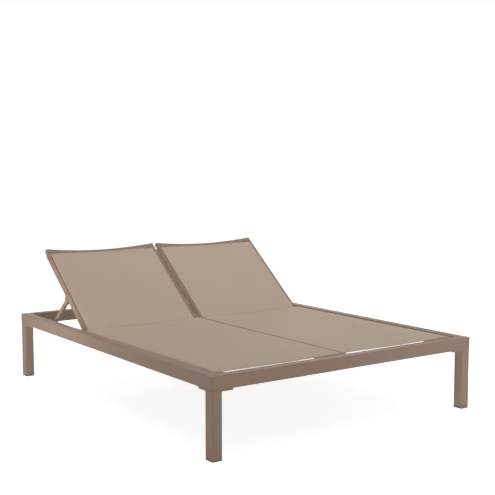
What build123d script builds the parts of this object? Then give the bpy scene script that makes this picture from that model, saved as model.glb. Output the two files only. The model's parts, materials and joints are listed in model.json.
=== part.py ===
from build123d import *
from math import cos, radians, sin
import os

# A double chaise lounger: a low aluminium bed on four legs, two sling seats side by side, and two
# sling backs that tilt one by one, each held up by a pair of braced arms whose feet drop into notched racks.
# Millimetres, Z up. The foot end is at -Y, the head end at +Y, the origin on the floor at the middle.
# Paired pieces are modelled on the +X side and mirrored.

# Bed frame
bed_length = 2000.0
bed_width = 1540.0
bed_height = 360.0
rail_width = 48.0
rail_height = 60.0
rail_wall = 2.0
rail_edge_radius = 3.0

# Legs, each with a flange under the rails
leg_side = 50.0
leg_depth = 54.0
leg_wall = 2.5
leg_edge_radius = 4.0
flange_reach = 107.0
flange_thickness = 7.0
flange_corner_radius = 8.0
weld_size = 5.0
glide_height = 6.0
glide_plug = 22.0
glide_play = 0.3
glide_chamfer = 1.5

# Screws of the legs and of the racks
leg_bolt = 8.0
leg_bolt_head = 14.0
leg_bolt_head_height = 4.0
leg_bolt_socket = 5.8
leg_bolt_socket_depth = 2.2
leg_bolt_first = 68.0
leg_bolt_pitch = 28.0
leg_bolts_per_rail = 2
rack_bolt = 6.0
rack_bolt_head = 10.0
rack_bolt_head_height = 2.5
rack_bolt_socket = 4.6
rack_bolt_socket_depth = 1.4
bolt_play = 0.2
bolt_reach = 6.0
hexagon_sides = 6

# Slings, and the slots that hold their edges
sling_thickness = 1.0
hem_width = 25.0
hem_side_play = 1.5
keder_diameter = 4.0
keder_play = 0.1
slot_bore = 6.6
slot_depth = 5.2
slot_mouth = 2.2
slot_wall = 1.2
facing_up = 90.0
facing_out = 0.0

# Seats
deck_drop = 2.5
beam_width = 24.0
beam_edge_radius = 2.0
seam_half = 7.2
seat_side_gap = 24.0
seat_foot_gap = 26.0
seat_rail_width = 30.0
seat_rail_height = 30.0
seat_rail_radius = 2.5
cross_width = 40.0
cross_height = 25.0
cross_radius = 2.0
front_cross_share = 0.27
middle_cross_share = 0.63
rear_cross_share = 0.97

# Backs, measured along the slope from the hinge and square to it
back_length = 628.3
hinge_setback = 28.0
hinge_drop = 14.0
back_side_gap = 26.0
back_rail_width = 30.0
back_rail_depth = 34.5
back_rail_wall = 2.0
back_rail_radius = 1.5
back_rail_tail = 16.0
head_clearance = 2.7
outer_slot_inset = 15.0
inner_slot_inset = 18.0
back_sling_tail = 10.0
headroom = 42.0
top_bar_height = 30.0
top_bar_depth = 25.0
top_bar_bow = 28.0
top_bar_radius = 3.0
cap_thickness = 2.0
cap_plug = 6.0
cap_play = 1.2
cross_bar_place = 75.0
cross_bar_height = 30.0
cross_bar_depth = 20.0
rest_angle = 38.25
max_angle = 55.0

# Hinges
hinge_pin = 8.0
pin_play = 0.05
pin_head = 13.0
pin_head_height = 3.0
washer_diameter = 20.0
washer_thickness = 1.0
hinge_play = 0.2
boss_diameter = 22.0
boss_flange = 34.0
boss_flange_thickness = 4.0

# Props
prop_pivot_share = 0.42655
arm_length_share = 0.42178
arm_width = 25.0
arm_thickness = 15.0
arm_side_play = 0.5
arm_chamfer = 1.5
prop_lean = 40.0
prop_ratio = -2.0
foot_pin = 12.0
foot_end_play = 1.0
foot_chamfer = 1.0
brace_diameter = 14.0
brace_wall = 1.5
brace_place = 27.0
bracket_plate = 2.5
bracket_length = 44.0
bracket_play = 1.0
bracket_nose = 14.0

# Racks
rack_thickness = 5.0
rack_drop = 17.0
rack_ear = 24.0
rack_ear_rise = 20.0
rack_stop_play = 1.5
rack_notch_pitch = 36.0
rack_notch_play = 0.75
rack_ramp = 20.0
rack_notches_down = 3
rack_notches_up = 2
foot_clearance = 1.0
rack_bolt_rise = 9.0

# Stops under the lowered backs
stop_width = 24.0
stop_reach = 55.0
stop_height = 20.0
stop_thickness = 3.0
stop_gap = 0.35

# Every cut runs past the face that it opens by this much
overrun = 5.0

half_length = bed_length / 2
half_width = bed_width / 2
side_face = half_width - rail_width
end_face = half_length - rail_width
rail_base = bed_height - rail_height
leg_top = rail_base - flange_thickness
deck = bed_height - deck_drop
beam_half = beam_width / 2
seat_edge = side_face - seat_side_gap
seat_foot = -end_face + seat_foot_gap
seat_slot_height = deck - seat_rail_height / 2
sleeve_diameter = keder_diameter + 2 * (keder_play + sling_thickness)

hinge_y = end_face - head_clearance - back_length
hinge_z = deck - hinge_drop
seat_rear = hinge_y - hinge_setback
seat_length = seat_rear - seat_foot
back_rear = back_rail_depth - hinge_drop
back_outer = side_face - back_side_gap
back_inner = beam_half + washer_thickness + hinge_play
outer_rail_inner = back_outer - back_rail_width
inner_rail_outer = back_inner + back_rail_width
bar_low = back_length - top_bar_height
outer_slot = back_outer - outer_slot_inset
inner_slot = back_inner + inner_slot_inset
pin_bore = hinge_pin + 2 * pin_play

prop_pivot_place = prop_pivot_share * back_length
arm_length = arm_length_share * back_length
arm_half = arm_width / 2
prop_pivot_depth = back_rear + bracket_plate + bracket_play + arm_half
outer_arm = back_outer - bracket_plate - arm_side_play - arm_thickness / 2
inner_arm = (back_inner + inner_rail_outer) / 2


def turned(y, z, angle):
    """A place in the side view, turned about the origin from +Y towards +Z."""
    c = cos(radians(angle))
    s = sin(radians(angle))
    return y * c - z * s, y * s + z * c


def prop_pivot_at(angle):
    """Where a prop's pivot is in the side view, with the back tilted up by the angle."""
    y, z = turned(prop_pivot_place, -prop_pivot_depth, angle)
    return hinge_y + y, hinge_z + z


def foot_at(angle):
    """Where a prop's feet are in the side view, with the back tilted up by the angle."""
    pivot_y, pivot_z = prop_pivot_at(angle)
    y, z = turned(arm_length, 0, -prop_lean + (1 + prop_ratio) * (angle - rest_angle))
    return pivot_y + y, pivot_z + z


def span(low, high, bottom, top):
    """A rectangle between two limits across and two limits up."""
    return Pos((low + high) / 2, (bottom + top) / 2) * Rectangle(high - low, top - bottom)


def along_x(section, start, end):
    """A section drawn in Y and Z, run along X."""
    return extrude(Plane((start, 0, 0), x_dir=(0, 1, 0), z_dir=(1, 0, 0)) * section, end - start)


def along_y(section, start, end):
    """A section drawn in X and Z, run along Y."""
    return extrude(Plane((0, start, 0), x_dir=(1, 0, 0), z_dir=(0, -1, 0)) * section, start - end)


def along_z(section, start, end):
    """A section drawn in X and Y, run along Z."""
    return extrude(Pos(0, 0, start) * section, end - start)


def disc_x(diameter, y, z, start, end):
    """A round pin or hole along X."""
    return along_x(Pos(y, z) * Circle(diameter / 2), start, end)


def disc_z(diameter, x, y, start, end):
    """A round pin or hole along Z."""
    return along_z(Pos(x, y) * Circle(diameter / 2), start, end)


def hollow_section(width, height, wall, radius):
    """Section of a rectangular tube with rounded edges."""
    return RectangleRounded(width, height, radius) - Rectangle(width - 2 * wall, height - 2 * wall)


def slotted_section(width, height, wall, radius, slots):
    """Section of a tube with keder slots, each given by its place on the edge and its mouth's heading."""
    outline = RectangleRounded(width, height, radius)
    section = hollow_section(width, height, wall, radius)
    for x, y, heading in slots:
        bore_place = Pos(x, y) * Rot(0, 0, heading) * Pos(-slot_depth, 0)
        section += outline & (bore_place * Circle(slot_bore / 2 + slot_wall))
    for x, y, heading in slots:
        face_place = Pos(x, y) * Rot(0, 0, heading)
        section -= face_place * Pos(-slot_depth, 0) * Circle(slot_bore / 2)
        section -= face_place * span(-slot_depth, overrun, -slot_mouth / 2, slot_mouth / 2)
    return section


def keder_tab(x, y, heading):
    """The sling's edge in a slot: a tab through the mouth and a sleeve round the keder rod."""
    sleeve = Circle(sleeve_diameter / 2) - Circle(sleeve_diameter / 2 - sling_thickness)
    tab_start = -slot_depth + sleeve_diameter / 2 - sling_thickness / 2
    tab = span(tab_start, sling_thickness, -sling_thickness / 2, sling_thickness / 2)
    return Pos(x, y) * Rot(0, 0, heading) * (Pos(-slot_depth, 0) * sleeve + tab)


def mirrored(shape):
    """The same piece on the -X side."""
    return mirror(shape, about=Plane.YZ)


def both_sides(solids):
    """A list of pieces with their mirrored copies, as one group."""
    return Compound(children=solids + [mirrored(solid) for solid in solids])


def four_corners(solids):
    """A list of pieces at the +X, +Y corner, repeated at all four corners as one group."""
    pair = solids + [mirror(solid, about=Plane.XZ) for solid in solids]
    return both_sides(pair)


def leg_bolt_places():
    """Screw places of the +X, +Y leg, first along the side rail and then along the head rail."""
    steps = [leg_bolt_first + i * leg_bolt_pitch for i in range(leg_bolts_per_rail)]
    on_side = [(half_width - rail_width / 2, half_length - step) for step in steps]
    on_end = [(half_width - step, half_length - rail_width / 2) for step in steps]
    return on_side, on_end


def rack_bolt_places():
    """Screw places of a rack in the side view, one in each ear."""
    foot, head = rack_limits()
    height = rail_base + rack_bolt_rise
    return [(foot - rack_ear / 2, height), (head + rack_ear / 2, height)]


def cut_at_corner(tube, x, y, keep_x, keep_y):
    """Mitres a rail at a corner of the bed, keeping the side that the last two numbers point to."""
    return split(tube, bisect_by=Plane(origin=(x, y, 0), z_dir=(keep_x, keep_y, 0)), keep=Keep.TOP)


def side_rail():
    """Side rail with mitred ends and its screw holes."""
    profile = hollow_section(rail_width, rail_height, rail_wall, rail_edge_radius)
    place = Pos(half_width - rail_width / 2, bed_height - rail_height / 2)
    rail = along_y(place * profile, -half_length, half_length)
    rail = cut_at_corner(rail, half_width, -half_length, 1, 1)
    rail = cut_at_corner(rail, half_width, half_length, 1, -1)
    on_side, on_end = leg_bolt_places()
    for x, y in on_side:
        for end in (y, -y):
            rail -= disc_z(leg_bolt + 2 * bolt_play, x, end, rail_base - overrun, rail_base + overrun)
    for y, z in rack_bolt_places():
        rail -= disc_x(rack_bolt + 2 * bolt_play, y, z, side_face - overrun, side_face + overrun)
    return rail


def end_rail():
    """Head rail with mitred ends and its screw holes; the foot rail is its mirror image."""
    profile = hollow_section(rail_width, rail_height, rail_wall, rail_edge_radius)
    place = Pos(half_length - rail_width / 2, bed_height - rail_height / 2)
    rail = along_x(place * profile, -half_width, half_width)
    rail = cut_at_corner(rail, half_width, half_length, -1, 1)
    rail = cut_at_corner(rail, -half_width, half_length, 1, 1)
    on_side, on_end = leg_bolt_places()
    for x, y in on_end:
        for side in (x, -x):
            rail -= disc_z(leg_bolt + 2 * bolt_play, side, y, rail_base - overrun, rail_base + overrun)
    return rail


def centre_beam():
    """Beam between the seats, with a keder slot for each seat's inner edge and the hinge pin's bore."""
    beam_height = deck - rail_base
    slots = [(-seam_half, beam_height / 2, facing_up), (seam_half, beam_height / 2, facing_up)]
    profile = slotted_section(beam_width, beam_height, rail_wall, beam_edge_radius, slots)
    beam = along_y(Pos(0, rail_base + beam_height / 2) * profile, -end_face, end_face)
    beam -= disc_x(pin_bore, hinge_y, hinge_z, -beam_width, beam_width)
    for y, z in rack_bolt_places():
        beam -= disc_x(rack_bolt + 2 * bolt_play, y, z, -beam_width, beam_width)
    return beam


def seat_rail():
    """Rail under a seat's outer edge, with its keder slot in the outer side."""
    profile = slotted_section(
        seat_rail_width, seat_rail_height, rail_wall, seat_rail_radius, [(seat_rail_width / 2, 0, facing_out)]
    )
    return along_y(Pos(seat_edge - seat_rail_width / 2, seat_slot_height) * profile, -end_face, seat_rear)


def seat_rail_plug():
    """Plastic plug in the seat rail's rear end, beside the keder slot."""
    low = seat_edge - seat_rail_width
    boss = slot_depth + slot_bore / 2 + slot_wall
    flange = Pos(seat_edge - seat_rail_width / 2, seat_slot_height)
    flange *= RectangleRounded(seat_rail_width, seat_rail_height, seat_rail_radius)
    inset = rail_wall + cap_play
    stub = span(
        low + inset, seat_edge - boss - cap_play, deck - seat_rail_height + inset, deck - inset
    )
    plug = along_y(flange, seat_rear, seat_rear + cap_thickness)
    return plug + along_y(stub, seat_rear - cap_plug, seat_rear)


def seat_cross(place_share):
    """Cross tube that carries a seat rail between the side rail and the centre beam."""
    y = seat_foot + place_share * seat_length
    top = deck - seat_rail_height
    profile = hollow_section(cross_width, cross_height, rail_wall, cross_radius)
    return along_x(Pos(y, top - cross_height / 2) * profile, beam_half, side_face)


def seat_sling():
    """Seat sling: a sheet over beam and seat rail, tucked into their slots, with a doubled hem at each end."""
    sheet = span(seam_half - sling_thickness / 2, seat_edge + sling_thickness, deck, deck + sling_thickness)
    wrap = span(
        seat_edge, seat_edge + sling_thickness, seat_slot_height - sling_thickness / 2, deck + sling_thickness
    )
    section = sheet + wrap + keder_tab(seam_half, deck, facing_up)
    section += keder_tab(seat_edge, seat_slot_height, facing_out)
    hem = span(
        beam_half + hem_side_play, seat_edge - seat_rail_width - hem_side_play, deck - sling_thickness, deck
    )
    sling = along_y(section, seat_foot, seat_rear)
    sling += along_y(hem, seat_foot, seat_foot + hem_width)
    sling += along_y(hem, seat_rear - hem_width, seat_rear)
    return sling


def seat_keder_rods():
    """Rods in the seat sling's edge sleeves."""
    places = [(seam_half, deck - slot_depth), (seat_edge - slot_depth, seat_slot_height)]
    rod = Circle(keder_diameter / 2)
    return [along_y(Pos(x, z) * rod, seat_foot, seat_rear) for x, z in places]


def leg():
    """Leg tube welded under an angled flange, at the +X, +Y corner."""
    tube = Pos(half_width - leg_side / 2, half_length - leg_depth / 2)
    tube *= hollow_section(leg_side, leg_depth, leg_wall, leg_edge_radius)
    post = along_z(tube, glide_height, leg_top)
    outline = span(half_width - flange_reach, half_width, half_length - rail_width, half_length)
    outline += span(half_width - rail_width, half_width, half_length - flange_reach, half_length)
    outline = fillet(outline.vertices(), flange_corner_radius / 2)
    plate = along_z(outline, leg_top, rail_base)
    on_side, on_end = leg_bolt_places()
    for x, y in on_side + on_end:
        plate -= disc_z(leg_bolt + 2 * bolt_play, x, y, leg_top - overrun, rail_base + overrun)
    bead = Polygon((0, 0), (-weld_size, 0), (0, -weld_size), align=None)
    inner_x = half_width - leg_side
    inner_y = half_length - leg_depth
    weld_x = along_y(Pos(inner_x, leg_top) * bead, inner_y + leg_edge_radius, half_length - leg_edge_radius)
    weld_y = along_x(Pos(inner_y, leg_top) * bead, inner_x + leg_edge_radius, half_width - leg_edge_radius)
    return plate + post + weld_x + weld_y


def leg_glide():
    """Plastic glide plugged into a leg's lower end."""
    place = Pos(half_width - leg_side / 2, half_length - leg_depth / 2)
    foot = along_z(place * RectangleRounded(leg_side, leg_depth, leg_edge_radius), 0, glide_height)
    foot = chamfer(foot.faces().sort_by(Axis.Z)[0].edges(), glide_chamfer)
    inset = leg_wall + glide_play
    stub = place * Rectangle(leg_side - 2 * inset, leg_depth - 2 * inset)
    return foot + along_z(stub, glide_height, glide_height + glide_plug)


def leg_bolts():
    """Button-head screws that hold the +X, +Y leg's flange to the rails."""
    on_side, on_end = leg_bolt_places()
    bolts = []
    for x, y in on_side + on_end:
        head_base = leg_top - leg_bolt_head_height
        head = disc_z(leg_bolt_head, x, y, head_base, leg_top)
        socket = Pos(x, y) * RegularPolygon(leg_bolt_socket / 2, hexagon_sides)
        head -= along_z(socket, head_base, head_base + leg_bolt_socket_depth)
        bolts.append(head + disc_z(leg_bolt, x, y, leg_top, rail_base + bolt_reach))
    return bolts


def rack_limits():
    """How far the crest of a rack runs in Y, between its two ears."""
    foot = foot_at(max_angle)[0] - foot_pin / 2 - rack_stop_play
    head = foot_at(0)[0] + foot_pin / 2 + rack_stop_play
    return foot, head


def crest_at(y):
    """Height of the rack's crest, a straight line that clears the feet over their whole travel."""
    low_y, low_z = foot_at(max_angle)
    high_y, high_z = foot_at(0)
    slope = (high_z - low_z) / (high_y - low_y)
    return low_z - foot_pin / 2 - foot_clearance + slope * (y - low_y)


def rack_outline():
    """Side view of a rack: a bar with two ears and one notch for each rest of a foot."""
    foot, head = rack_limits()
    bottom = rail_base - rack_drop
    ear_top = rail_base + rack_ear_rise
    outline = Polygon(
        (foot - rack_ear, bottom),
        (head + rack_ear, bottom),
        (head + rack_ear, ear_top),
        (head, ear_top),
        (head, crest_at(head)),
        (foot, crest_at(foot)),
        (foot, ear_top),
        (foot - rack_ear, ear_top),
        align=None,
    )
    rest_y = foot_at(rest_angle)[0]
    radius = foot_pin / 2 + rack_notch_play
    for step in range(-rack_notches_down, rack_notches_up + 1):
        y = rest_y + step * rack_notch_pitch
        z = crest_at(y)
        outline -= Pos(y, z) * Circle(radius)
        outline -= Polygon((y, z - radius), (y, z + radius), (y - rack_ramp, crest_at(y - rack_ramp)), align=None)
    return outline


def rack(face, outward):
    """Notched rack that lies against a face and stands off it to one side."""
    plate = along_x(rack_outline(), min(face, face + outward), max(face, face + outward))
    for y, z in rack_bolt_places():
        plate -= disc_x(rack_bolt + 2 * bolt_play, y, z, face - overrun * 2, face + overrun * 2)
    return plate


def rack_bolts():
    """Screws of the +X racks, headed on the racks and threaded into the beam and the side rail."""
    bolts = []
    for y, z in rack_bolt_places():
        inner = beam_half + rack_thickness
        outer = side_face - rack_thickness
        inner_top = inner + rack_bolt_head_height
        outer_top = outer - rack_bolt_head_height
        socket = Pos(y, z) * RegularPolygon(rack_bolt_socket / 2, hexagon_sides)
        inner_head = disc_x(rack_bolt_head, y, z, inner, inner_top)
        inner_head -= along_x(socket, inner_top - rack_bolt_socket_depth, inner_top)
        outer_head = disc_x(rack_bolt_head, y, z, outer_top, outer)
        outer_head -= along_x(socket, outer_top, outer_top + rack_bolt_socket_depth)
        bolts.append(inner_head + disc_x(rack_bolt, y, z, inner - rack_thickness - bolt_reach, inner))
        bolts.append(outer_head + disc_x(rack_bolt, y, z, outer, outer + rack_thickness + bolt_reach))
    return bolts


def hinge_boss():
    """Flanged boss on the side rail that holds a back's outer hinge pin."""
    end = back_outer + hinge_play + washer_thickness
    boss = disc_x(boss_diameter, hinge_y, hinge_z, end, side_face)
    boss += disc_x(boss_flange, hinge_y, hinge_z, side_face - boss_flange_thickness, side_face)
    return boss - disc_x(pin_bore, hinge_y, hinge_z, end - overrun, side_face + overrun)


def hinge_washers():
    """Washers that keep a back's rails off the beam and off the boss."""
    washers = []
    for start in (beam_half, back_outer + hinge_play):
        ring = disc_x(washer_diameter, hinge_y, hinge_z, start, start + washer_thickness)
        washers.append(ring - disc_x(pin_bore, hinge_y, hinge_z, start - overrun, start + overrun))
    return washers


def outer_hinge_pin():
    """Headed pin through a back's outer rail into the boss."""
    head_face = outer_rail_inner - hinge_play
    pin = disc_x(hinge_pin, hinge_y, hinge_z, head_face, side_face)
    return pin + disc_x(pin_head, hinge_y, hinge_z, head_face - pin_head_height, head_face)


def centre_hinge_pin():
    """Pin through the beam and both backs' inner rails, with a head at each end."""
    reach = inner_rail_outer + hinge_play
    pin = disc_x(hinge_pin, hinge_y, hinge_z, -reach, reach)
    pin += disc_x(pin_head, hinge_y, hinge_z, reach, reach + pin_head_height)
    return pin + disc_x(pin_head, hinge_y, hinge_z, -reach - pin_head_height, -reach)


def back_stops():
    """Angle stops on the head rail, one under each rail of a lowered back."""
    top = hinge_z - back_rear - stop_gap
    section = span(end_face - stop_reach, end_face, top - stop_thickness, top)
    section += span(end_face - stop_thickness, end_face, top - stop_height, top)
    centres = (inner_arm, back_outer - back_rail_width / 2)
    return [along_x(section, x - stop_width / 2, x + stop_width / 2) for x in centres]


def tilted(shape):
    """Carries a piece of a back from the lying position about its hinge to the stored rest."""
    return Pos(0, hinge_y, hinge_z) * Rot(rest_angle, 0, 0) * shape


def back_rail(low, slot_x):
    """Side rail of a back, lying along Y from its hinge bore, with a keder slot in its front face."""
    centre = low + back_rail_width / 2
    slots = [(slot_x - centre, back_rail_depth / 2, facing_up)]
    profile = slotted_section(back_rail_width, back_rail_depth, back_rail_wall, back_rail_radius, slots)
    rail = along_y(Pos(centre, hinge_drop - back_rail_depth / 2) * profile, -back_rail_tail, bar_low)
    return rail - disc_x(pin_bore, 0, 0, low - overrun, low + back_rail_width + overrun)


def back_rail_plug(low):
    """Plastic plug in the lower end of a back's rail, behind the keder slot."""
    centre = low + back_rail_width / 2
    flange = Pos(centre, hinge_drop - back_rail_depth / 2)
    flange *= RectangleRounded(back_rail_width, back_rail_depth, back_rail_radius)
    inset = back_rail_wall + cap_play
    boss = slot_depth + slot_bore / 2 + slot_wall
    stub = span(
        low + inset, low + back_rail_width - inset, -back_rear + inset, hinge_drop - boss - cap_play
    )
    plug = along_y(flange, -back_rail_tail - cap_thickness, -back_rail_tail)
    return plug + along_y(stub, -back_rail_tail, -back_rail_tail + cap_plug)


def bowed_band(low, high, inset):
    """Outline of the top bar seen from above, bowed to the rear between its ends."""
    middle = (low + high) / 2
    front = hinge_drop - inset
    rear = hinge_drop - top_bar_depth + inset
    front_arc = ThreePointArc((low, front), (middle, front - top_bar_bow), (high, front))
    rear_arc = ThreePointArc((high, rear), (middle, rear - top_bar_bow), (low, rear))
    sides = Line((high, front), (high, rear)) + Line((low, rear), (low, front))
    return make_face((front_arc + rear_arc + sides).edges())


def top_bar():
    """Bowed tube across the top of a back, lying on the ends of both rails."""
    low = back_inner + cap_thickness
    high = back_outer - cap_thickness
    bar = along_y(bowed_band(low, high, 0), bar_low, back_length)
    bar = fillet(bar.edges().filter_by(GeomType.CIRCLE), top_bar_radius)
    hollow = along_y(bowed_band(low, high, rail_wall), bar_low + rail_wall, back_length - rail_wall)
    return bar - hollow


def top_bar_cap(face, outward):
    """Cap on one end of the top bar, with a short plug; outward is 1 or -1 along X."""
    across = hinge_drop - top_bar_depth / 2
    middle = (bar_low + back_length) / 2
    flange = Pos(middle, across) * RectangleRounded(top_bar_height, top_bar_depth, top_bar_radius)
    inset = rail_wall + cap_play
    stub = Pos(middle, across) * Rectangle(top_bar_height - 2 * inset, top_bar_depth - 2 * inset)
    cap = along_x(flange, face - outward * cap_thickness, face)
    plug_start = face - outward * (cap_thickness + cap_plug)
    return cap + along_x(stub, plug_start, face - outward * cap_thickness)


def cross_bar():
    """Tube across the lower part of a back, behind the sling."""
    profile = hollow_section(cross_bar_height, cross_bar_depth, back_rail_wall, back_rail_radius)
    place = Pos(cross_bar_place, -back_rear + cross_bar_depth / 2)
    return along_x(place * profile, inner_rail_outer, outer_rail_inner)


def back_sling():
    """Back sling: a sheet on the rails' front faces, tucked into their slots, with a doubled hem at each end."""
    half = sling_thickness / 2
    sheet = span(inner_slot - half, outer_slot + half, hinge_drop, hinge_drop + sling_thickness)
    section = sheet + keder_tab(inner_slot, hinge_drop, facing_up)
    section += keder_tab(outer_slot, hinge_drop, facing_up)
    hem = span(
        inner_rail_outer + hem_side_play,
        outer_rail_inner - hem_side_play,
        hinge_drop - sling_thickness,
        hinge_drop,
    )
    top = back_length - headroom
    sling = along_y(section, -back_sling_tail, top)
    sling += along_y(hem, -back_sling_tail, -back_sling_tail + hem_width)
    sling += along_y(hem, top - hem_width, top)
    return sling


def back_keder_rods():
    """Rods in the back sling's edge sleeves."""
    rod = Circle(keder_diameter / 2)
    depth = hinge_drop - slot_depth
    top = back_length - headroom
    return [along_y(Pos(x, depth) * rod, -back_sling_tail, top) for x in (inner_slot, outer_slot)]


def prop_bracket(centre):
    """Clevis under a back's rail that holds the upper end of a prop's arm."""
    nose = Pos(prop_pivot_place, -prop_pivot_depth) * Circle(bracket_nose)
    foot = span(
        prop_pivot_place - bracket_length / 2,
        prop_pivot_place + bracket_length / 2,
        -back_rear - bracket_plate,
        -back_rear,
    )
    cheek = make_hull((nose + foot).edges())
    gap = arm_thickness / 2 + arm_side_play
    bracket = along_x(foot, centre - gap, centre + gap)
    bracket += along_x(cheek, centre - gap - bracket_plate, centre - gap)
    bracket += along_x(cheek, centre + gap, centre + gap + bracket_plate)
    return bracket - disc_x(pin_bore, prop_pivot_place, -prop_pivot_depth, centre - 2 * gap, centre + 2 * gap)


def prop_pin(centre, outward):
    """Headed pin of a clevis; outward is 1 or -1, the side of its head."""
    reach = arm_thickness / 2 + arm_side_play + bracket_plate
    y = prop_pivot_place
    z = -prop_pivot_depth
    head = centre + outward * reach
    tail = centre - outward * reach
    pin = disc_x(hinge_pin, y, z, tail, head)
    pin += disc_x(pin_head, y, z, head, head + outward * pin_head_height)
    return pin + disc_x(pin_head, y, z, tail, tail - outward * pin_head_height)


def leaned(shape):
    """Carries a piece of a prop from lying along Y at its pivot to the stored rest."""
    y, z = prop_pivot_at(rest_angle)
    return Pos(0, y, z) * Rot(-prop_lean, 0, 0) * shape


def prop_arm(centre, foot_end):
    """Flat arm with round ends, bored for its pivot pin, with a foot that reaches over the rack."""
    outline = Pos(arm_length / 2, 0) * SlotCenterToCenter(arm_length, arm_width)
    arm = along_x(outline, centre - arm_thickness / 2, centre + arm_thickness / 2)
    rims = arm.faces().sort_by(Axis.X)[0].edges() + arm.faces().sort_by(Axis.X)[-1].edges()
    arm = chamfer(rims, arm_chamfer)
    arm -= disc_x(pin_bore, 0, 0, centre - arm_thickness, centre + arm_thickness)
    foot = disc_x(foot_pin, arm_length, 0, min(centre, foot_end), max(centre, foot_end))
    tips = foot.faces().filter_by(Axis.X).edges()
    return arm + chamfer(tips, foot_chamfer)


def prop_brace():
    """Tube between a prop's arms, near their pivots."""
    start = inner_arm + arm_thickness / 2
    end = outer_arm - arm_thickness / 2
    tube = disc_x(brace_diameter, brace_place, 0, start, end)
    return tube - disc_x(brace_diameter - 2 * brace_wall, brace_place, 0, start - overrun, end + overrun)


def bed_pieces():
    """Pieces of the bed that come singly or as one group."""
    head = end_rail()
    return {
        "head_rail": head,
        "foot_rail": mirror(head, about=Plane.XZ),
        "centre_beam": centre_beam(),
        "leg_glides": four_corners([leg_glide()]),
        "leg_bolts": four_corners(leg_bolts()),
        "rack_bolts": both_sides(rack_bolts()),
        "seat_keder_rods": both_sides(seat_keder_rods()),
        "seat_rail_plugs": both_sides([seat_rail_plug()]),
        "centre_hinge_pin": centre_hinge_pin(),
        "outer_hinge_pins": both_sides([outer_hinge_pin()]),
        "hinge_bosses": both_sides([hinge_boss()]),
        "hinge_washers": both_sides(hinge_washers()),
        "back_stops": both_sides(back_stops()),
    }


def side_pieces():
    """Pieces that come once on each side, modelled on the +X side."""
    head_leg = leg()
    pieces = {
        "side_rail": side_rail(),
        "seat_rail": seat_rail(),
        "seat_sling": seat_sling(),
        "leg_head": head_leg,
        "leg_foot": mirror(head_leg, about=Plane.XZ),
        "rack_outer": rack(side_face, -rack_thickness),
        "rack_inner": rack(beam_half, rack_thickness),
        "back_rail_outer": tilted(back_rail(outer_rail_inner, outer_slot)),
        "back_rail_inner": tilted(back_rail(back_inner, inner_slot)),
        "top_bar": tilted(top_bar()),
        "cross_bar": tilted(cross_bar()),
        "back_sling": tilted(back_sling()),
        "prop_arm_outer": leaned(prop_arm(outer_arm, side_face - foot_end_play)),
        "prop_arm_inner": leaned(prop_arm(inner_arm, beam_half + foot_end_play)),
        "prop_brace": leaned(prop_brace()),
    }
    cross_shares = {"front": front_cross_share, "middle": middle_cross_share, "rear": rear_cross_share}
    for name, place_share in cross_shares.items():
        pieces["seat_cross_" + name] = seat_cross(place_share)
    return pieces


def side_groups():
    """Groups of small pieces that come once on each side, modelled on the +X side."""
    return {
        "bar_caps": [top_bar_cap(back_inner, -1), top_bar_cap(back_outer, 1)],
        "back_rail_plugs": [back_rail_plug(back_inner), back_rail_plug(outer_rail_inner)],
        "back_keder_rods": back_keder_rods(),
        "prop_brackets": [prop_bracket(inner_arm), prop_bracket(outer_arm)],
        "prop_pins": [prop_pin(inner_arm, 1), prop_pin(outer_arm, 1)],
    }


def all_pieces():
    """Every node of the lounger by its name."""
    nodes = bed_pieces()
    for name, shape in side_pieces().items():
        nodes[name + "_right"] = shape
        nodes[name + "_left"] = mirrored(shape)
    for name, solids in side_groups().items():
        placed = [tilted(solid) for solid in solids]
        nodes[name + "_right"] = Compound(children=placed)
        nodes[name + "_left"] = Compound(children=[mirrored(solid) for solid in placed])
    return nodes


os.makedirs("parts", exist_ok=True)
for node, shape in all_pieces().items():
    export_step(shape, "parts/" + node + ".step")
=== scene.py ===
import bpy
import json
import math
from mathutils import Matrix, Vector, noise


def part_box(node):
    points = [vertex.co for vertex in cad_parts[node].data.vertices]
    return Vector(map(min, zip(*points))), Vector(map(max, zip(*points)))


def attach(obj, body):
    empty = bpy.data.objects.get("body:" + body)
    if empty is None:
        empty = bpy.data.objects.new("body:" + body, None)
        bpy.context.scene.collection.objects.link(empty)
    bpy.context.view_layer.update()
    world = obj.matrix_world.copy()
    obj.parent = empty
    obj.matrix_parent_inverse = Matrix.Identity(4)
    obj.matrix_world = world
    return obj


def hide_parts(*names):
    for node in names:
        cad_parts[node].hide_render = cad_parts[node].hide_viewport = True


# The looks of the double chaise lounger, in metres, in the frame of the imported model.

SIDES = {"left": -1, "right": 1}

# Camera, fitted to the photograph, with angles in degrees and lens and sensor in millimetres
CAMERA_PLACE = (-2.911, -4.265, 1.254)
CAMERA_YAW = 35.38
CAMERA_PITCH = 5.30
CAMERA_LENS = 70.6
CAMERA_SENSOR = 36

# Slings
CLOTH = 0.001
CLOTH_MAP = "cloth"
CLOTH_ROWS = 64
CLOTH_COLUMNS = 44
CORNER_RADIUS = 0.0018
CORNER_STEPS = 4
SHARP_ANGLE = 35
TAB_DEPTH = 0.0045
# From the far side of a sleeve round its keder rod to the middle of the cloth in the slot
SLEEVE_REACH = 0.0031
SEAT_SAG = 0.005
BACK_SAG = 0.004
# The sag is less by this share at the free ends, and the power sets how near to them
END_TIGHTNESS_SHARE = 0.35
END_POWER = 8
RIPPLE = 0.0006
# Waves in a metre, across and along
RIPPLE_WAVES = (9, 4)
RIPPLE_LAYER = 0.3

# Hems
HEM_BOW = 0.004
HEM_WIDTH = 0.024
HEM_FOLD = 0.0008
HEM_GAP = 0.0002
HEM_MARGIN = 0.0018
RAW_EDGE = 0.0004
FOLD_STEPS = 8
HEM_COLUMNS = 48

# Stitches
THREAD_RADIUS = 0.00035
THREAD_SIDES = 4
STITCH_LENGTH = 0.0032
STITCH_PITCH = 0.0046
STITCH_ROWS = (0.0045, 0.0205)
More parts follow.
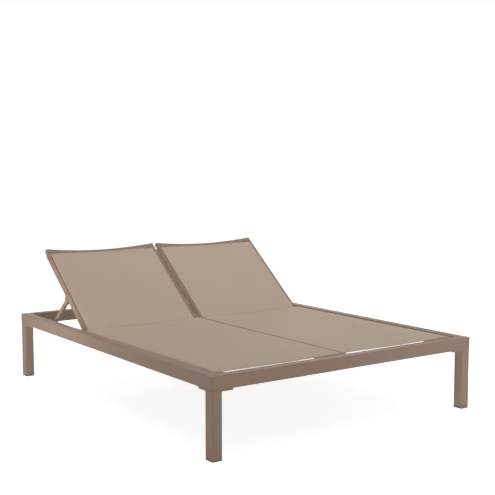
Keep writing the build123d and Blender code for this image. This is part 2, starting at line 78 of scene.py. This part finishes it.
# Along a stitch: shares of its length, and of the thread's radius for its thickness and its rise
STITCH_SHARES = ((0.0, 0.2, -0.6), (0.25, 1.0, 0.35), (0.75, 1.0, 0.35), (1.0, 0.2, -0.6))

# Weave
WEAVE_PITCH = 0.0011
CRIMP_SHARE = 0.45
GAP_RAMP = (0.30, 0.62)

# Powder coat
EDGE_REACH = 0.003
EDGE_SAMPLES = 6
EDGE_GAIN = 12.0
EDGE_SHADE = 0.16
SEAM_SHADE = 0.45
# The seam's painted shade: half its width, how far before the seats' end it stops, and its depth
SEAM_HALF = 0.008
SEAM_INSET = 0.003
SEAM_DEPTH = 0.0005

# Floor, with the distances over which it clears to white
FLOOR_HALF = 14.0
FLOOR_SEEN = (0.68, 0.9)
FLOOR_REACH = (2.4, 5.5)

# Light
WORLD_LIGHT = 0.175
LAMP_TINT = (1.0, 0.997, 0.99)
# Lamps: name, place, aim, width and height, watts, and where they differ beam and shadow
LAMPS = (
    ("overhead", (0.2, 0.2, 3.6), (0, 0, 0.3), (3.2, 3.6), 85),
    ("top_right", (2.6, -0.6, 2.8), (0.2, 0, 0.3), (2.0, 2.0), 5),
    ("rear", (0.4, 4.9, 1.5), (0, 0, 0.3), (2.4, 1.4), 27),
    ("rear_right", (4.4, 4.3, 1.2), (0.75, 0, 0.36), (1.4, 1.0), 2.5, 60),
    ("slot_fill", (-3.6, 0.57, 0.54), (0.02, 0.57, 0.54), (0.6, 0.2), 0.7, 20, False),
    ("right_side", (4.6, 0.6, 1.3), (0, 0, 0.3), (2.4, 1.2), 30),
    ("left_fill", (-3.6, 0.7, 0.7), (0, 0.1, 0.3), (2.0, 1.0), 56, 180, False),
    ("front_fill", (-0.7, -4.3, 0.7), (0, 0, 0.2), (1.6, 0.9), 48, 180, False),
    ("foot_right_fill", (3.0, -3.5, 1.0), (0.3, 0.2, 0.4), (2.0, 1.6), 41, 180, False),
    ("foot_leg", (-1.7, -2.9, 0.5), (0.74, -0.97, 0.09), (0.6, 0.4), 0.5, 16),
    ("head_leg", (-1.7, -1.9, 0.3), (-0.745, 0.95, 0.15), (0.4, 0.3), 0.4, 20),
)

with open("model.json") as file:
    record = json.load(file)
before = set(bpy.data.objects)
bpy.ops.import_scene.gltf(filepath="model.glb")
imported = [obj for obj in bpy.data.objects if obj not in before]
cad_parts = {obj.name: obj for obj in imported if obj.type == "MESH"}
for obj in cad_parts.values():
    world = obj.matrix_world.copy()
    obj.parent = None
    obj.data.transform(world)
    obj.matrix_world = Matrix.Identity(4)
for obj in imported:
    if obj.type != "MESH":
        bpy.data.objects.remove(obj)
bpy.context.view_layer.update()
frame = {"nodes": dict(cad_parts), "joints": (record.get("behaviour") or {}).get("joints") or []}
joints = {joint["name"]: joint for joint in frame["joints"]}


def srgb(red, green, blue):
    """A colour given as 8-bit sRGB values, in the linear values that shaders take."""
    linear = []
    for value in (red, green, blue):
        share = value / 255
        linear.append(share / 12.92 if share <= 0.04045 else ((share + 0.055) / 1.055) ** 2.4)
    return (*linear, 1.0)


def grey(level):
    """A grey or white, in linear values."""
    return (level, level, level, 1.0)


def shaded(colour, amount):
    """A colour made darker or lighter by a factor."""
    return (*[channel * amount for channel in colour[:3]], 1.0)


class Nodes:
    """A node tree with short calls for adding and joining shader nodes."""

    def __init__(self, tree):
        self.tree = tree

    def add(self, kind, **settings):
        """A new node with its settings."""
        node = self.tree.nodes.new("ShaderNode" + kind)
        for key, value in settings.items():
            setattr(node, key, value)
        return node

    def join(self, source, target):
        """Joins an output to an input."""
        self.tree.links.new(source, target)

    def put(self, value, socket):
        """Joins an output to an input, or sets a constant on it."""
        if isinstance(value, bpy.types.NodeSocket):
            self.join(value, socket)
        else:
            socket.default_value = value

    def math(self, operation, first, second=0.0):
        """The result of an operation on one or two values."""
        node = self.add("Math", operation=operation)
        self.put(first, node.inputs[0])
        self.put(second, node.inputs[1])
        return node.outputs[0]

    def span(self, value, low, high, start=0.0, end=1.0):
        """Carries a value from start..end to low..high."""
        node = self.add("MapRange")
        self.join(value, node.inputs["Value"])
        node.inputs["From Min"].default_value = start
        node.inputs["From Max"].default_value = end
        node.inputs["To Min"].default_value = low
        node.inputs["To Max"].default_value = high
        return node.outputs["Result"]

    def seen_rays(self):
        """1 for the rays that show the background, and 0 for the others."""
        rays = self.add("LightPath").outputs
        seen = rays["Is Camera Ray"]
        for kind in ("Is Glossy Ray", "Is Transmission Ray"):
            seen = self.math("MAXIMUM", seen, rays[kind])
        return seen


class Shader(Nodes):
    """A node material with short calls for its patterns and its surface."""

    def __init__(self, name):
        self.material = bpy.data.materials.new(name)
        self.material.use_nodes = True
        super().__init__(self.material.node_tree)
        self.surface = self.tree.nodes["Principled BSDF"].inputs

    def give(self, socket_name, value):
        """Joins an output to an input of the surface, or sets a constant on it."""
        self.put(value, self.surface[socket_name])

    def object_coordinates(self):
        """The place on the object, in metres."""
        return self.add("TexCoord").outputs["Object"]

    def parts(self, vector):
        """The outputs X, Y and Z of a vector."""
        node = self.add("SeparateXYZ")
        self.join(vector, node.inputs[0])
        return node.outputs

    def noise(self, coordinates, scale, detail=2.0, roughness=0.5):
        """Soft noise from 0 to 1."""
        node = self.add("TexNoise")
        self.join(coordinates, node.inputs["Vector"])
        node.inputs["Scale"].default_value = scale
        node.inputs["Detail"].default_value = detail
        node.inputs["Roughness"].default_value = roughness
        return node.outputs["Fac"]

    def mix(self, factor, first, second):
        """The first colour where the factor is 0, and the second where it is 1."""
        node = self.add("Mix", data_type="RGBA")
        self.put(factor, node.inputs["Factor"])
        self.put(first, node.inputs["A"])
        self.put(second, node.inputs["B"])
        return node.outputs["Result"]

    def brightened(self, colour, factor):
        """A colour whose brightness is multiplied by a factor."""
        node = self.add("HueSaturation")
        self.join(colour, node.inputs["Color"])
        self.put(factor, node.inputs["Value"])
        return node.outputs["Color"]

    def darker(self, colour, mask, amount):
        """A colour made darker by an amount where the mask is 1."""
        return self.mix(mask, colour, self.brightened(colour, 1 - amount))

    def bump(self, height, strength, distance, under=None):
        """A surface direction tilted by a height, over another bump where one is given."""
        node = self.add("Bump")
        self.join(height, node.inputs["Height"])
        node.inputs["Strength"].default_value = strength
        node.inputs["Distance"].default_value = distance
        if under is not None:
            self.join(under, node.inputs["Normal"])
        return node.outputs["Normal"]

    def edges(self):
        """1 on the edges of a solid and 0 on its faces."""
        rounded = self.add("Bevel", samples=EDGE_SAMPLES)
        rounded.inputs["Radius"].default_value = EDGE_REACH
        turned = self.add("VectorMath", operation="DOT_PRODUCT")
        self.join(rounded.outputs["Normal"], turned.inputs[0])
        self.join(self.add("NewGeometry").outputs["Normal"], turned.inputs[1])
        away = self.math("SUBTRACT", 1.0, turned.outputs["Value"])
        return self.math("MINIMUM", self.math("MULTIPLY", away, EDGE_GAIN), 1.0)


def powder_coat(name, seam=False):
    """Taupe powder coat: fine grain, orange peel, uneven tone, darker edges; seam paints shade along the
    seam.
    """
    shader = Shader(name)
    place = shader.object_coordinates()
    colour = srgb(134, 114, 99)
    cloud = shader.noise(place, scale=5.0, detail=3.0)
    grain = shader.noise(place, scale=900.0, roughness=0.6)
    peel = shader.noise(place, scale=260.0, detail=1.0)
    cloudy = shader.span(cloud, low=0.2, high=0.8)
    tone = shader.mix(cloudy, shaded(colour, 0.965), shaded(colour, 1.035))
    tone = shader.mix(shader.span(grain, low=-0.6, high=1.2), shaded(colour, 0.9), tone)
    tone = shader.darker(tone, shader.edges(), EDGE_SHADE)
    if seam:
        # Painted shade in the recess between the two seats, along the beam's top
        tone = shader.darker(tone, seam_painted_shade(shader, place), SEAM_SHADE)
    shader.give("Base Color", tone)
    shader.give("Roughness", shader.span(grain, low=0.5, high=0.66))
    shader.give("Specular IOR Level", 0.15)
    fine = shader.bump(grain, strength=0.25, distance=0.00012)
    shader.give("Normal", shader.bump(peel, strength=0.12, distance=0.0003, under=fine))
    return shader.material


def seam_painted_shade(shader, place):
    """Mask of painted shade: 1 along the top of the beam, between the two seats, and 0 elsewhere."""
    seats_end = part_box("seat_sling_left")[1].y
    beam_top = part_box("centre_beam")[1].z
    parts = shader.parts(place)
    middle = shader.math("LESS_THAN", shader.math("ABSOLUTE", parts["X"]), SEAM_HALF)
    beside_seats = shader.math("LESS_THAN", parts["Y"], seats_end - SEAM_INSET)
    on_top = shader.math("GREATER_THAN", parts["Z"], beam_top - SEAM_DEPTH)
    return shader.math("MULTIPLY", shader.math("MULTIPLY", middle, beside_seats), on_top)


def thread_arch(shader, run):
    """The round back of a thread, whose pitch is 1 along the run."""
    return shader.math("ABSOLUTE", shader.math("SINE", shader.math("MULTIPLY", run, math.pi)))


def woven_sling():
    """Coated mesh: two thread directions that pass over and under, with small dark gaps between them."""
    shader = Shader("woven_sling")
    cloth = shader.parts(shader.add("UVMap", uv_map=CLOTH_MAP).outputs["UV"])
    across = shader.math("DIVIDE", cloth["X"], WEAVE_PITCH)
    along = shader.math("DIVIDE", cloth["Y"], WEAVE_PITCH)
    cell = shader.math("ADD", shader.math("FLOOR", across), shader.math("FLOOR", along))
    over = shader.math("MODULO", shader.math("ABSOLUTE", cell), 2.0)
    crimp = shader.math("MULTIPLY", over, CRIMP_SHARE)
    warp_rise = shader.math("ADD", crimp, 1 - CRIMP_SHARE)
    weft_rise = shader.math("SUBTRACT", 1.0, crimp)
    warp_height = shader.math("MULTIPLY", thread_arch(shader, across), warp_rise)
    weft_height = shader.math("MULTIPLY", thread_arch(shader, along), weft_rise)
    height = shader.math("MAXIMUM", warp_height, weft_height)
    warp_on_top = shader.math("GREATER_THAN", warp_height, weft_height)
    warp_colour = srgb(186, 168, 152)
    weft_colour = srgb(175, 156, 140)
    threads = shader.mix(warp_on_top, weft_colour, warp_colour)
    gaps = shader.add("ValToRGB")
    for stop, position in zip(gaps.color_ramp.elements, GAP_RAMP):
        stop.position = position
    shader.join(height, gaps.inputs[0])
    woven = shader.mix(gaps.outputs["Color"], shaded(weft_colour, 0.55), threads)
    cloud = shader.noise(shader.object_coordinates(), scale=3.0)
    shader.give("Base Color", shader.brightened(woven, shader.span(cloud, low=0.975, high=1.025)))
    shader.give("Roughness", 0.85)
    shader.give("Specular IOR Level", 0.12)
    shader.give("Sheen Weight", 0.02)
    shader.give("Normal", shader.bump(height, strength=0.35, distance=0.0003))
    return shader.material


def sewing_thread():
    """Polyester thread, twisted, in about the colour of the cloth."""
    shader = Shader("sewing_thread")
    twist = shader.add("TexWave", wave_type="BANDS", bands_direction="DIAGONAL")
    shader.join(shader.object_coordinates(), twist.inputs["Vector"])
    twist.inputs["Scale"].default_value = 900.0
    colour = srgb(176, 160, 146)
    shader.give("Base Color", shader.mix(twist.outputs["Fac"], shaded(colour, 0.82), colour))
    shader.give("Roughness", 0.7)
    return shader.material


def moulded_plastic(name, colour, grain_scale):
    """Moulded plastic with a fine spark-eroded grain."""
    shader = Shader(name)
    place = shader.object_coordinates()
    grain = shader.noise(place, scale=grain_scale)
    cloud = shader.noise(place, scale=14.0)
    shader.give("Base Color", shader.mix(cloud, shaded(colour, 0.92), shaded(colour, 1.06)))
    shader.give("Roughness", shader.span(grain, low=0.45, high=0.66))
    shader.give("Normal", shader.bump(grain, strength=0.3, distance=0.0001))
    return shader.material


def plated_steel():
    """Turned steel with a bronze plating and faint brushing."""
    shader = Shader("plated_steel")
    stretch = shader.add("Mapping")
    shader.join(shader.object_coordinates(), stretch.inputs["Vector"])
    stretch.inputs["Scale"].default_value = (1.0, 14.0, 14.0)
    brushing = shader.noise(stretch.outputs["Vector"], scale=120.0, detail=3.0)
    shader.give("Base Color", shader.mix(brushing, srgb(112, 104, 97), srgb(150, 141, 132)))
    shader.give("Metallic", 1.0)
    shader.give("Roughness", shader.span(brushing, low=0.26, high=0.42))
    shader.give("Normal", shader.bump(brushing, strength=0.1, distance=0.0001))
    return shader.material


def paper_floor():
    """White paper floor: it keeps a faint shadow near the object, and clears to white farther out."""
    shader = Shader("paper_floor")
    place = shader.object_coordinates()
    tone = shader.noise(place, scale=2.0)
    shader.give("Base Color", shader.mix(tone, grey(0.78), grey(0.8)))
    shader.give("Roughness", 0.95)
    shader.give("Specular IOR Level", 0.0)
    shader.give("Emission Color", grey(1.0))
    distance = shader.add("VectorMath", operation="LENGTH")
    shader.join(place, distance.inputs[0])
    level = shader.span(distance.outputs["Value"], *FLOOR_SEEN, *FLOOR_REACH)
    shader.give("Emission Strength", shader.math("MULTIPLY", shader.seen_rays(), level))
    return shader.material


def link(obj):
    """Puts a new object into the scene."""
    bpy.context.scene.collection.objects.link(obj)
    return obj


def mesh_piece(name, points, faces, material, cloth_map=None):
    """A smooth mesh object; cloth_map gives each point's place on the flat cloth."""
    mesh = bpy.data.meshes.new(name)
    mesh.from_pydata([tuple(point) for point in points], [], faces)
    if cloth_map is not None:
        layer = mesh.uv_layers.new(name=CLOTH_MAP)
        for corner in mesh.loops:
            layer.data[corner.index].uv = cloth_map[corner.vertex_index]
    for face in mesh.polygons:
        face.use_smooth = True
    mesh.set_sharp_from_angle(angle=math.radians(SHARP_ANGLE))
    mesh.materials.append(material)
    mesh.update()
    return link(bpy.data.objects.new(name, mesh))


def rounded_path(corners, radius, arc_steps, long_steps):
    """A flat path through corners with rounded turns; its longest straight is cut into steps."""
    path = [Vector(corners[0])]
    for before, corner, after in zip(corners, corners[1:], corners[2:]):
        corner = Vector(corner)
        entering = (corner - Vector(before)).normalized()
        leaving = (Vector(after) - corner).normalized()
        start = corner - entering * radius
        centre = start + leaving * radius
        for step in range(arc_steps + 1):
            turn = math.pi / 2 * step / arc_steps
            path.append(centre - leaving * radius * math.cos(turn) + entering * radius * math.sin(turn))
    path.append(Vector(corners[-1]))
    longest = max(range(len(path) - 1), key=lambda i: (path[i + 1] - path[i]).length)
    start, end = path[longest], path[longest + 1]
    between = [start.lerp(end, step / long_steps) for step in range(1, long_steps)]
    return path[: longest + 1] + between + path[longest + 1 :]


def run_lengths(path):
    """How far along a path each of its points lies."""
    runs = [0.0]
    for before, after in zip(path, path[1:]):
        runs.append(runs[-1] + (Vector(after) - Vector(before)).length)
    return runs


def band_faces(steps, size, closed):
    """Faces between rows of points, each row of a size; a closed band joins the ends of its rows."""
    faces = []
    for step in range(steps):
        here = step * size
        for index in range(size if closed else size - 1):
            after = (index + 1) % size
            faces.append((here + index, here + after, here + size + after, here + size + index))
    return faces


def hem_profile(edge, inward):
    """A hem's outline round its fold and its raw edge: places along the cloth, heights off its middle."""
    under = -2 * HEM_FOLD
    profile = [(edge + inward * RAW_EDGE / 2, CLOTH / 2)]
    for step in range(1, FOLD_STEPS):
        turn = math.pi * step / FOLD_STEPS
        height = (CLOTH / 2 + HEM_FOLD) * math.cos(turn) - HEM_FOLD
        profile.append((edge - inward * HEM_FOLD * math.sin(turn), height))
    profile.append((edge, under))
    profile.append((edge + inward * HEM_WIDTH, under))
    profile.append((edge + inward * (HEM_WIDTH + RAW_EDGE), under + CLOTH / 2))
    profile.append((edge + inward * HEM_WIDTH, -CLOTH / 2 - HEM_GAP))
    profile.append((edge + inward * RAW_EDGE, -CLOTH / 2))
    return profile


class Sling:
    """A sling in the flat frame of its body: X across, Y along, Z off the cloth."""

    def __init__(self, name, body, place, side, corners, free, along, sag):
        """Corners, and free, where the cloth leaves its rails, are distances from the bed's middle."""
        self.name = name
        self.body = body
        self.place = place
        self.corners = [(x * side, z) for x, z in corners]
        self.face = corners[1][1]
        self.free = sorted(x * side for x in free)
        self.along = along
        self.sag = sag

    def slack(self, x):
        """How loose the cloth is at a place across it: 0 on the rails and 1 half way between them."""
        low, high = self.free
        share = min(max((x - low) / (high - low), 0.0), 1.0)
        return math.sin(math.pi * share) ** 2

    def on_cloth(self, x, y, z):
        """A point of the flat sling moved to where the stretched cloth has it."""
        start, end = self.along
        slack = self.slack(x)
        share = (y - start) / (end - start)
        near_end = abs(2 * share - 1) ** END_POWER
        ripple = RIPPLE * noise.noise(Vector((x * RIPPLE_WAVES[0], y * RIPPLE_WAVES[1], RIPPLE_LAYER)))
        y += HEM_BOW * slack * (1 - 2 * share)
        z += slack * (ripple - self.sag * (1 - END_TIGHTNESS_SHARE * near_end))
        return self.place @ Vector((x, y, z))

    def end_place(self, end_name):
        """Where a free end of the cloth lies, and the direction from there along the cloth."""
        start, end = self.along
        return (start, 1) if end_name == "lower" else (end, -1)

    def cloth(self, material):
        """The sheet itself, from one keder slot to the other, and its flat size."""
        path = rounded_path(self.corners, CORNER_RADIUS, CORNER_STEPS, CLOTH_COLUMNS)
        runs = run_lengths(path)
        start, end = self.along
        points, cloth_map = [], []
        for row in range(CLOTH_ROWS + 1):
            y = start + (end - start) * row / CLOTH_ROWS
            for (x, z), run in zip(path, runs):
                points.append(self.on_cloth(x, y, z))
                cloth_map.append((run, y - start))
        faces = band_faces(CLOTH_ROWS, len(path), closed=False)
        piece = mesh_piece(self.name + "_cloth", points, faces, material, cloth_map)
        solid = piece.modifiers.new("thickness", "SOLIDIFY")
        solid.thickness = CLOTH
        solid.offset = 0.0
        return piece, (runs[-1], end - start)

    def hem(self, end_name, material):
        """The cloth's end folded under: a rounded fold at the edge and a lower layer."""
        profile = hem_profile(*self.end_place(end_name))
        runs = run_lengths(profile)
        low = self.free[0] + HEM_MARGIN
        high = self.free[1] - HEM_MARGIN
        points, cloth_map = [], []
        for column in range(HEM_COLUMNS + 1):
            x = low + (high - low) * column / HEM_COLUMNS
            for (y, z), run in zip(profile, runs):
                points.append(self.on_cloth(x, y, self.face + z))
                cloth_map.append((x, run))
        size = len(profile)
        faces = band_faces(HEM_COLUMNS, size, closed=True)
        faces.append(tuple(reversed(range(size))))
        faces.append(tuple(HEM_COLUMNS * size + index for index in range(size)))
        return mesh_piece(self.name + "_hem_" + end_name, points, faces, material, cloth_map)

    def stitches(self, end_name, material):
        """Two rows of stitches along a hem, on the cloth's upper face."""
        low, high = self.free
        edge, inward = self.end_place(end_name)
        stitch_faces = band_faces(len(STITCH_SHARES) - 1, THREAD_SIDES, closed=True)
        points, faces = [], []
        for row in STITCH_ROWS:
            for index in range(int((high - low) / STITCH_PITCH)):
                base = len(points)
                start = low + (index + 0.5) * STITCH_PITCH
                points += self.stitch(start, edge + inward * row)
                # A thread's rings turn the other way, so its faces are read backwards
                faces += [tuple(base + face[corner] for corner in (0, 3, 2, 1)) for face in stitch_faces]
        return mesh_piece(self.name + "_stitches_" + end_name, points, faces, material)

    def stitch(self, start, y):
        """The points of one stitch, which rises from the cloth and dips back into it."""
        points = []
        for length_share, thickness_share, rise_share in STITCH_SHARES:
            radius = THREAD_RADIUS * thickness_share
            middle = self.face + CLOTH / 2 + THREAD_RADIUS * rise_share
            for side in range(THREAD_SIDES):
                turn = 2 * math.pi * (side + 0.5) / THREAD_SIDES
                x = start + STITCH_LENGTH * length_share
                points.append(self.on_cloth(x, y + radius * math.cos(turn), middle + radius * math.sin(turn)))
        return points

    def make(self, cloth_material, thread_material):
        """Builds the cloth with its hems and stitches, and puts it in its body in place of its solid."""
        cloth, flat = self.cloth(cloth_material)
        trims = []
        for end_name in ("lower", "upper"):
            trims.append(self.hem(end_name, cloth_material))
            trims.append(self.stitches(end_name, thread_material))
        for piece in [cloth] + trims:
            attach(piece, self.body)
        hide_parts(self.name)


def local_box(node, place):
    """Lowest and highest corner of a CAD node in a body's flat frame."""
    inverse = place.inverted()
    corners = [inverse @ vertex.co for vertex in frame["nodes"][node].data.vertices]
    low = Vector([min(corner[axis] for corner in corners) for axis in range(3)])
    high = Vector([max(corner[axis] for corner in corners) for axis in range(3)])
    return low, high


def inner_and_outer(low, high, side):
    """Where a piece starts and ends across, as distances from the middle of the bed."""
    return (low.x, high.x) if side > 0 else (-high.x, -low.x)


def seat_sling(side_name, side, cloth_material, thread_material):
    """The seat's sling, from the beam's slot over the seat rail into the slot in its outer side."""
    name = "seat_sling_" + side_name
    rail = "seat_rail_" + side_name
    low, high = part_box(name)
    rail_low, rail_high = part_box(rail)
    rail_inner, rail_outer = inner_and_outer(rail_low, rail_high, side)
    beam_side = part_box("centre_beam")[1].x
    seam = inner_and_outer(low, high, side)[0] + SLEEVE_REACH
    face = rail_high.z + CLOTH / 2
    wrap = rail_outer + CLOTH / 2
    slot_height = (rail_low.z + rail_high.z) / 2
    corners = [
        (seam, rail_high.z - TAB_DEPTH),
        (seam, face),
        (wrap, face),
        (wrap, slot_height),
        (rail_outer - TAB_DEPTH, slot_height),
    ]
    free = (beam_side, rail_inner)
    sling = Sling(name, "bed", Matrix.Identity(4), side, corners, free, (low.y, high.y), SEAT_SAG)
    sling.make(cloth_material, thread_material)


def back_sling(side_name, side, cloth_material, thread_material):
    """The back's sling, between the slots in its two rails' front faces."""
    joint = joints["back_tilt_" + side_name]
    hinge = Vector((0, joint["pos_m"][1], joint["pos_m"][2]))
    # The back lies flat at its joint's lower limit
    lean = -math.radians(joint["range_deg"][0])
    place = Matrix.Translation(hinge) @ Matrix.Rotation(lean, 4, "X")
    name = "back_sling_" + side_name
    inner_rail = "back_rail_inner_" + side_name
    outer_rail = "back_rail_outer_" + side_name
    low, high = local_box(name, place)
    inner_low, inner_high = local_box(inner_rail, place)
    outer_low, outer_high = local_box(outer_rail, place)
    inner, outer = inner_and_outer(low, high, side)
    inner_slot = inner + SLEEVE_REACH
    outer_slot = outer - SLEEVE_REACH
    face = inner_high.z + CLOTH / 2
    tab_end = inner_high.z - TAB_DEPTH
    corners = [(inner_slot, tab_end), (inner_slot, face), (outer_slot, face), (outer_slot, tab_end)]
    free_from = inner_and_outer(inner_low, inner_high, side)[1]
    free_to = inner_and_outer(outer_low, outer_high, side)[0]
    body = "back_" + side_name
    sling = Sling(name, body, place, side, corners, (free_from, free_to), (low.y, high.y), BACK_SAG)
    sling.make(cloth_material, thread_material)


def dress_frame():
    """Gives every solid that stays its finish."""
    coat = powder_coat("powder_coat")
    steel = plated_steel()
    dark = moulded_plastic("dark_plastic", srgb(58, 52, 49), grain_scale=700.0)
    grey_plastic = moulded_plastic("grey_plastic", srgb(120, 107, 98), grain_scale=800.0)
    rod = moulded_plastic("keder_plastic", srgb(96, 84, 75), grain_scale=500.0)
    finishes = {
        # The beam's coat has shade painted along its seam
        "centre_beam": powder_coat("beam_coat_painted_seam_shade", seam=True),
        "leg_bolts": steel,
        "rack_bolts": steel,
        "prop_pins": steel,
        "centre_hinge_pin": steel,
        "outer_hinge_pins": steel,
        "hinge_washers": steel,
        "leg_glides": dark,
        "seat_rail_plugs": dark,
        "back_rail_plugs": dark,
        "bar_caps": grey_plastic,
        "seat_keder_rods": rod,
        "back_keder_rods": rod,
    }
    for name, node in frame["nodes"].items():
        finish = coat
        for stem, material in finishes.items():
            if name.startswith(stem):
                finish = material
        for slot in node.material_slots:
            slot.material = finish


def add_camera():
    """The camera of the photograph."""
    camera = link(bpy.data.objects.new("camera", bpy.data.cameras.new("camera")))
    camera.location = CAMERA_PLACE
    camera.rotation_euler = (math.radians(90 - CAMERA_PITCH), 0, -math.radians(CAMERA_YAW))
    camera.data.lens = CAMERA_LENS
    camera.data.sensor_width = CAMERA_SENSOR
    bpy.context.scene.camera = camera


def add_softbox(name, place, aim, size, power, beam=180, shadow=True):
    """A rectangular lamp that faces a point; beam is how wide its light spreads, in degrees."""
    lamp = bpy.data.lights.new(name, "AREA")
    lamp.shape = "RECTANGLE"
    lamp.size, lamp.size_y = size
    lamp.energy = power
    lamp.color = LAMP_TINT
    lamp.spread = math.radians(beam)
    lamp.use_shadow = shadow
    box = link(bpy.data.objects.new(name, lamp))
    box.location = place
    box.rotation_euler = (Vector(aim) - Vector(place)).to_track_quat("-Z", "Y").to_euler()


def add_light():
    """Pale surroundings, which look white, and softboxes all round."""
    world = bpy.data.worlds.new("studio")
    bpy.context.scene.world = world
    world.use_nodes = True
    nodes = Nodes(world.node_tree)
    background = nodes.tree.nodes["Background"].inputs
    background["Color"].default_value = grey(1.0)
    nodes.join(nodes.span(nodes.seen_rays(), low=WORLD_LIGHT, high=1.0), background["Strength"])
    for lamp in LAMPS:
        add_softbox(*lamp)


def add_floor():
    """A plain pale floor."""
    low, high = -FLOOR_HALF, FLOOR_HALF
    points = [(low, low, 0), (high, low, 0), (high, high, 0), (low, high, 0)]
    floor = mesh_piece("floor", points, [(0, 1, 2, 3)], paper_floor())


add_camera()
add_light()
add_floor()
dress_frame()
sling_material = woven_sling()
thread_material = sewing_thread()
for side_name, side in SIDES.items():
    seat_sling(side_name, side, sling_material, thread_material)
    back_sling(side_name, side, sling_material, thread_material)

bpy.context.scene.view_settings.view_transform = "Standard"
